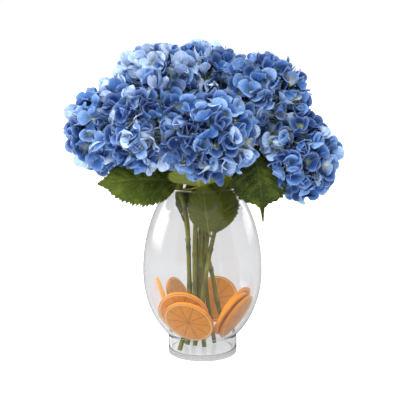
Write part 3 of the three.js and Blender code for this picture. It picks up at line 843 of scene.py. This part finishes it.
def leafMesh(name, leaf):
    start = Vector(leaf.foot)
    along = Vector(leaf.tip) - start
    across = Vector(leaf.faces).cross(along).normalized()
    face = along.cross(across).normalized()
    inside, spike = leaf.get("inside", False), leaf.get("spike", leafSize.bluntTip)
    rows, half = leafSize.along, leafSize.across
    seedPlace = Vector((len(name) * 3.7, leaf.width, 0))

    def halfWidth(t):  # an egg-shaped outline that runs out into the tip
        drawnOut = 1 - spike[2] * ease(t, spike[0], spike[1])
        fullness = max(0, sin(pi * min(1, max(0, t)) ** 0.82)) ** 0.75
        return max(leafSize.thickness / 2, leaf.width / 2 * fullness * drawnOut)

    def lifted(t, s, outer):  # the leaf swells between its side veins, and sinks along its midrib
        swept = t - leafLook.veinSweep * abs(s) ** leafLook.veinBend
        pillow = sin(pi * ((swept * leafLook.sideVeins) % 1)) ** 0.6 * ease(abs(s), 0.02, 0.25)
        swell = leafSize.quilting * pillow * (1 - outer) * ease(t, 0.0, 0.15) * ease(t, 1.0, 0.8)
        lift = swell - leafSize.midribDip * ease(abs(s), 0.09, 0.0)
        return lift + leafSize.crumple * noise.noise(Vector((t * 9, s * 4, 0)) + seedPlace)

    upper, places = [], []
    for i, j in product(range(rows + 1), range(-half, half + 1)):
        t, s = i / rows, j / half
        tooth = (t * leafSize.teeth) % 1
        notch = 1 + leafSize.toothDepth * (1.6 * tooth - 0.9) * ease(t, 0.03, 0.12)
        outer = ease(abs(s), 0.86, 1)
        reach = halfWidth(t) * abs(s) * (1 + (notch - 1) * outer)
        forward = 0.55 / leafSize.teeth * outer * tooth
        spine = start + along * min(1, t + forward) + face * leaf.arch * sin(pi * min(1, t))
        point = spine + across * (-reach if s > 0 else reach)
        # the blade folds up along its midrib, and its edges wave
        waved = leaf.fold * (1 + 0.25 * sin(t * 17)) + 0.9 * sin(t * 26 + s * 2) * abs(s)
        point = point + face * (-waved * reach * 2 / leaf.width + lifted(t, s, outer))
        upper.append(settled(point, inside))
        places.append((t, s))
    width, count = 2 * half + 1, len(upper)
    quads = gridFaces(rows, width, False)
    sheet = surfaceMesh("leaf", [p * mm for p in upper], quads)  # only for its normals
    normals = [Vector(v.normal) for v in sheet.vertices]
    if sum(n.dot(face) for n in normals) < 0:
        quads = [tuple(reversed(q)) for q in quads]
        normals = [-n for n in normals]
    lower = []
    for point, normal, (t, s) in zip(upper, normals, places):
        rib = leafSize.midrib * ease(abs(s), 0.10, 0.0) * (1 - 0.6 * t)
        lower.append(point - normal * (leafSize.thickness * (1 - 0.45 * abs(s) ** 3) * 0.7 + rib))
    faces = quads + [tuple(k + count for k in reversed(q)) for q in quads]
    rim = [i * width for i in range(rows + 1)] + [rows * width + j for j in range(1, width)]
    rim += [i * width + width - 1 for i in range(rows - 1, -1, -1)] + [j for j in range(width - 2, 0, -1)]
    for a, b in zip(rim, rim[1:] + rim[:1]):
        faces.append((a, b, b + count, a + count))
    mesh = surfaceMesh("leaf_" + name, [p * mm for p in upper + lower], faces)
    bm = bmesh.new()
    bm.from_mesh(mesh)
    bmesh.ops.recalc_face_normals(bm, faces=bm.faces)
    bm.to_mesh(mesh)
    bm.free()
    writePlaces(mesh, "leafPlace", places * 2)
    # painted shade at the leaf's foot, under the heads, growing lighter towards the tip
    tones = [leaf.tone + leaf.get("lighterTip", 0) * (t - 0.4) for t, s in places]
    writeValues(mesh, "tone", tones * 2)
    writeValues(mesh, "under", [0.0] * count + [1.0] * count)
    mesh.materials.append(leafFinish)
    return mesh, upper[half], upper[half + 4 * width]


def stemLine(name, top, chance):  # the stem's way, its length at each point, and where its knots are
    head = heads[name]
    below = [top - headAxis(name) * share * head.radius for share in (0.55, 0.28, 0)]
    way = smoothWay([*stemWays[name], *below], 9)
    lengths = [0.0]
    for a, b in zip(way, way[1:]):
        lengths.append(lengths[-1] + (b - a).length)
    knots = []
    at = chance.uniform(*stemSize.firstKnot)
    while at < lengths[-1] - stemSize.knotBelowTop:
        knots.append(at)
        at += stemSize.knotEvery * chance.uniform(0.75, 1.25)
    return way, lengths, knots


def pithMesh(way):  # the pale cut end at the stem's foot
    down = (way[0] - way[1]).normalized()
    cut = way[0] + down * 0.05
    turned = Matrix.Translation(cut * mm) @ down.to_track_quat("Z", "Y").to_matrix().to_4x4()
    bm = bmesh.new()
    bmesh.ops.create_cone(bm, cap_ends=True, segments=12, radius1=2.2 * mm, radius2=1.9 * mm, depth=0.3 * mm,
                          matrix=turned)
    mesh = meshOf("pith", bm)
    writeValues(mesh, "pith", [1.0] * len(mesh.vertices))
    mesh.materials.append(stemFinish)
    return mesh


def buildStem(name, chance):
    head, axis = heads[name], headAxis(name)
    top = Vector(head.at) - axis * 0.3 * head.radius
    way, lengths, knots = stemLine(name, top, chance)
    girths, scars = [], []
    for length in lengths:
        near = max([exp(-(((length - k) / stemSize.knotLength) ** 2)) for k in knots] or [0])
        slim = 1 - stemSize.taper * length / lengths[-1]
        girths.append(stemSize.radius * stemSize.slimness * slim * (1 + stemSize.knotSwell * near))
        scars.append(near * stemSize.scarDepth)
    lines, meshes = [(way, girths, scars)], []
    for leafName, leaf in leaves.items():
        if leaf.on != name:
            continue
        mesh, base, into = leafMesh(leafName, leaf)
        meshes.append(mesh)
        start = min(way, key=lambda p: abs(p.z - leaf.height))
        middle = (start + base) / 2 + Vector((0, 0, -2))
        stalk = smoothWay([start, middle, base], 7)[:-1] + [base, base.lerp(into, 0.6)]
        share = [i / (len(stalk) - 1) for i in range(len(stalk))]
        lines.append((stalk, [stemSize.petiole * (1.35 - 0.6 * s) for s in share], [0.0] * len(stalk)))
    for knot in knots:  # a pair of small buds at each knot
        i = min(range(len(lengths)), key=lambda n: abs(lengths[n] - knot))
        up = (way[min(i + 1, len(way) - 1)] - way[i - 1]).normalized()
        side = up.cross(Vector((sin(knot), cos(knot), 0.1))).normalized()
        for sign in (1, -1):
            foot = way[i] + side * sign * 2.4
            bud = [foot, foot + side * sign * 1.3 + up * 1.6, foot + side * sign * 1.7 + up * 3.6]
            lines.append((bud, [0.9, 1.1, 0.25], [0.5, 0.3, 0.2]))
    turn = axis.orthogonal().normalized()
    for i in range(stemSize.rays):  # the stalks that spread under the florets
        level = 0.92 - 1.35 * i / stemSize.rays
        around = i * stemSize.goldenTurn + chance.uniform(-0.3, 0.3)
        ring = Matrix.Rotation(around, 3, axis) @ turn
        aim = (axis * level + ring * sqrt(1 - level**2)).normalized()
        end = Vector(head.at) + aim * headReach(name, aim) * stemSize.rayReach
        start = top - axis * chance.uniform(0, 9)
        ray = smoothWay([start, start.lerp(end, 0.5) + axis * 3, end], 4)
        girths = [stemSize.ray * (1.5 - 0.8 * k / (len(ray) - 1)) for k in range(len(ray))]
        lines.append((ray, girths, [0.0] * len(ray)))
    stem = newPiece("stem_and_leaves_" + name, grown(
        stalks, "leafy_stem_" + name + "_grown", linesMesh(lines), Sides=stemSize.sides, Thickness=1.0,
        Material=stemFinish))
    parts = [newPiece("part", partMesh) for partMesh in (*meshes, pithMesh(way))]
    with bpy.context.temp_override(active_object=stem, selected_editable_objects=[stem, *parts]):
        bpy.ops.object.join()
    handOver(stem, "leafy_stem_" + name)


stemChance = random.Random(stemSize.seed)
for stemName in stemWays:
    buildStem(stemName, stemChance)
print("stems and leaves grown")

# Florets and heads

petalSize = Values({
    "length": 17, "lengths": (0.92, 1.08), "width": 18, "widths": (0.92, 1.12), "thickness": 0.4,
    "cup": (0.05, 0.6), "lip": (0.2, 1.1), "wave": (0.4, 1.2), "notch": (-0.03, 0.05), "trough": 3.0,
    "along": 5, "across": 4, "kinds": 8, "seed": 100,
})
# stalkBends: share of the stalk's length, and how far aside it is there
floretSize = Values({
    "openings": (0.2, 0.45, 0.75, 0.1, 0.95, 0.6, 1.2, 0.85), "petals": 4, "wander": 0.48, "vary": 0.14,
    "ring": 0.9, "bud": 2.1, "stalk": 14, "stalkRadius": 0.6, "stalkSides": 5,
    "stalkBends": ((0.0, 0.0), (0.35, 0.8), (0.7, 0.6), (1.0, -0.8)),
})
headSize = Values({
    "bed": 0.75, "pressed": 0.92, "innerBed": 0.54, "levels": (4, 3), "bareUnder": -0.70, "bareWithin": 0.45,
    "swell": 0.15, "tuft": 16, "front": -129, "back": 142, "spacing": 12.6, "density": 60000, "tilt": 1.2,
    "grow": 1.05, "vary": 0.15, "tints": (-0.05, 1.2), "seed": 336,
})


def petalMesh(number):  # a thin closed petal along +X, with its base at the origin
    chance = random.Random(petalSize.seed + number)
    length = petalSize.length * chance.uniform(*petalSize.lengths)
    width = petalSize.width * chance.uniform(*petalSize.widths)
    cup, lip, wave = [chance.uniform(*petalSize[name]) for name in ("cup", "lip", "wave")]
    phase, notch = chance.uniform(0, 6), chance.uniform(*petalSize.notch)
    rows, columns = petalSize.along, petalSize.across
    top, places, rimShares, rim = [], [], [], set()
    for i, j in product(range(rows + 1), range(columns + 1)):
        u, v = 2 * i / rows - 1, 2 * j / columns - 1
        disc = Vector((u * sqrt(1 - v * v / 2), v * sqrt(1 - u * u / 2)))  # the square grid as a disc
        t = (disc.x + 1) / 2
        drawnIn = 0.30 + 0.70 * ease(t, -0.05, 0.55)  # narrow at the base
        x = length * (t - notch * (1 - abs(disc.y)) * t**4)
        y = width / 2 * disc.y * drawnIn
        z = length * (cup * t * t - lip * max(0, t - 0.6) ** 1.6)
        z += petalSize.trough * disc.y**2 * sin(pi * min(1, t * 1.1))
        z += wave * t * disc.length**2 * sin(phase + 3 * atan2(disc.y, disc.x))
        if abs(u) == 1 or abs(v) == 1:
            rim.add(len(top))
        top.append(Vector((x, y, z)))
        places.append((disc.y * 0.5 + 0.5, t))
        rimShares.append(disc.length)
    faces = gridFaces(rows, columns + 1, True)
    sheet = surfaceMesh("petal", top, faces)
    below, under = [], {}
    for v in sheet.vertices:
        under[v.index] = v.index if v.index in rim else len(top) + len(below)
        if v.index not in rim:
            below.append((v.co - v.normal * petalSize.thickness, places[v.index], rimShares[v.index]))
    points = [p * mm for p in top] + [p * mm for p, _, _ in below]
    places += [place for _, place, _ in below]
    rimShares += [share for _, _, share in below]
    faces += [tuple(under[k] for k in reversed(face)) for face in faces]
    mesh = surfaceMesh("petal_" + str(number), points, faces)
    sharp = [all(v in rim for v in edge.vertices) for edge in mesh.edges]
    mesh.attributes.new("sharp_edge", "BOOLEAN", "EDGE").data.foreach_set("value", sharp)
    writePlaces(mesh, "petalPlace", places)
    writeValues(mesh, "part", [0.0] * len(points))
    writeValues(mesh, "rim", rimShares)
    return mesh


def budMesh():  # the small bud in a floret's middle, and its thread-like stalk
    bm = bmesh.new()
    bmesh.ops.create_icosphere(bm, subdivisions=1, radius=floretSize.bud * mm)
    for v in bm.verts:
        v.co.z = v.co.z * 0.8 + 1.0 * mm
    count, sides = len(bm.verts), floretSize.stalkSides
    rings = []
    for drop, aside in floretSize.stalkBends:
        radius = floretSize.stalkRadius * (1 + 0.35 * drop)
        rings.append([bm.verts.new(Vector((aside + x, y, -drop * floretSize.stalk)) * mm)
                      for x, y, _ in circle(radius, sides)])
    for upper, lower in zip(rings, rings[1:]):
        for k in range(sides):
            bm.faces.new((upper[k], lower[k], lower[(k + 1) % sides], upper[(k + 1) % sides]))
    bm.faces.new(rings[0])
    bm.faces.new(list(reversed(rings[-1])))
    bmesh.ops.recalc_face_normals(bm, faces=bm.faces)
    mesh = meshOf("floret_bud", bm)
    points = len(mesh.vertices)
    mesh.polygons.foreach_set("use_smooth", [True] * len(mesh.polygons))
    writePlaces(mesh, "petalPlace", [(0.5, 0.5)] * points)
    writeValues(mesh, "part", [1.0 if i < count else 2.0 for i in range(points)])
    writeValues(mesh, "rim", [0.0] * points)
    return mesh


def floretTree():  # four petals round a bud
    tree, given = openTree(
        "floret", Petals="Collection", Kinds="Int", Bud="Object", Count="Int", Opening="Float",
        Wander="Float", Spread="Float", Seed="Int", Material="Material")
    seeds = [plus(given["Seed"], offset) for offset in (0, 100, 200, 300, 400)]
    ring = made("GeometryNodeMeshCircle", {"Vertices": given["Count"], "Radius": floretSize.ring * mm})
    step = math2("DIVIDE", 2 * pi, given["Count"])
    roll, pitch, yaw = [eitherWay(given["Wander"], seed) for seed in seeds[:3]]
    around = plus(times(made("GeometryNodeInputIndex"), step), times(yaw, 0.45))
    turned = rotation(roll, less(pitch, given["Opening"]), around)
    size = nearOne(given["Spread"], seeds[3])
    petals = shapesAt(ring, given["Petals"], given["Kinds"], turned, size, seeds[4])
    whole = put("GeometryNodeJoinGeometry", {0: petals})
    fill(whole, {0: put("GeometryNodeObjectInfo", {"Object": given["Bud"]}).outputs["Geometry"]})
    closeTree(whole.outputs[0], given["Material"])
    return tree


def headTree():  # florets spread over a bed, each with its own tilt, size, and tint that carries its head's painted light and shade
    tree, given = openTree(
        "head", Florets="Collection", Kinds="Int", Spacing="Float", Tilt="Float", Size="Float",
        Spread="Float", Tone="Float", Fading="Float", Seed="Int", Material="Material")
    seeds = [plus(given["Seed"], offset) for offset in (0, 10, 20, 30, 40, 50, 60, 70)]
    spread = put("GeometryNodeDistributePointsOnFaces", {
        "Mesh": given["Geometry"], "Distance Min": given["Spacing"], "Density Max": headSize.density,
        "Seed": seeds[0]}, distribute_method="POISSON").outputs
    local = rotation(eitherWay(given["Tilt"], seeds[1]), eitherWay(given["Tilt"], seeds[2]),
                     drawn(0.0, 2 * pi, seeds[3]))
    turned = made("FunctionNodeRotateRotation", {0: spread["Rotation"], 1: local}, rotation_space="LOCAL")
    size = times(given["Size"], nearOne(given["Spread"], seeds[4]))
    florets = shapesAt(spread["Points"], given["Florets"], given["Kinds"], turned, size, seeds[5])
    # each floret's tint: its head's tone, with its painted light and shade, plus a random tone of its own
    tint = plus(given["Tone"], drawn(*headSize.tints, seeds[6]))
    fade = plus(given["Fading"], drawn(0.0, 1.0, seeds[7]))
    for name, value in (("tint", tint), ("fade", fade)):
        florets = made("GeometryNodeStoreNamedAttribute", {"Geometry": florets, "Name": name, "Value": value},
                       data_type="FLOAT", domain="INSTANCE")
    closeTree(florets, given["Material"])
    return tree


def newShelf(name):
    shelf = bpy.data.collections.new(name)
    scene.collection.children.link(shelf)
    return shelf


petalShelf, floretShelf = newShelf("petal_kinds"), newShelf("floret_kinds")
for number in range(petalSize.kinds):
    petalShelf.objects.link(bpy.data.objects.new("petal_" + str(number), petalMesh(number)))
budObject = newPiece("floret_bud", budMesh())
floretShape, headShape = floretTree(), headTree()
for number, opening in enumerate(floretSize.openings):
    floretName = "floret_" + str(number)
    floret = grown(floretShape, floretName, Petals=petalShelf, Kinds=petalSize.kinds - 1, Bud=budObject,
                   Count=floretSize.petals, Opening=opening, Wander=floretSize.wander, Spread=floretSize.vary,
                   Seed=number * 7 + 3, Material=petalFinish)
    floretShelf.objects.link(bpy.data.objects.new(floretName, floret))
print("florets opened")


def bedReach(name, way):  # the bed swells where two heads meet, so that their florets close the groove
    free, pressed = freeReach(name, way), pressedReach(name, way)
    swell = 1 + headSize.swell * ease(free / pressed, 0.75, 1.0)
    return min(free * headSize.bed * swell, pressed * headSize.pressed)


def innerReach(name, way):
    return headReach(name, way) * headSize.innerBed


def bedMesh(name):  # the shells of a head on which its florets sit, open where a neighbour presses
    at, radius = Vector(heads[name].at), heads[name].radius
    bm = bmesh.new()
    for reach, level in zip((bedReach, innerReach), headSize.levels):
        ball = bmesh.new()
        bmesh.ops.create_icosphere(ball, subdivisions=level, radius=1)
        bare = []
        for v in ball.verts:
            way = v.co.normalized()
            under = way.dot(headAxis(name)) < headSize.bareUnder
            if under or headReach(name, way) < headSize.bareWithin * radius:
                bare.append(v)
            point = at + way * reach(name, way)
            point.y = min(headSize.back, max(headSize.front, point.y))
            v.co = point * mm
        bmesh.ops.delete(ball, geom=bare, context="VERTS")
        bm.from_mesh(meshOf("shell", ball))
    if "tuft" in heads[name]:  # florets that close the gap in the middle of the bunch
        bmesh.ops.create_icosphere(bm, subdivisions=2, radius=headSize.tuft * mm,
                                   matrix=Matrix.Translation(Vector(heads[name].tuft) * mm))
    return meshOf("bed_" + name, bm)


def buildHead(name, number):
    mesh = grown(headShape, "hydrangea_" + name, bedMesh(name), Florets=floretShelf,
                 Kinds=len(floretSize.openings) - 1, Spacing=headSize.spacing * mm, Tilt=headSize.tilt,
                 Size=headSize.grow, Spread=headSize.vary, Tone=heads[name].tone, Fading=heads[name].fading,
                 Seed=headSize.seed + number * 97, Material=petalFinish)
    handOver(newPiece("hydrangea_" + name, mesh), "flower_head_" + name)
    return len(mesh.polygons)


for headNumber, headName in enumerate(heads):
    print(headName, buildHead(headName, headNumber), "faces")
for shelf in (petalShelf, floretShelf):
    for thing in list(shelf.objects):
        bpy.data.objects.remove(thing)
    bpy.data.collections.remove(shelf)
bpy.data.objects.remove(budObject)
print("heads in bloom")
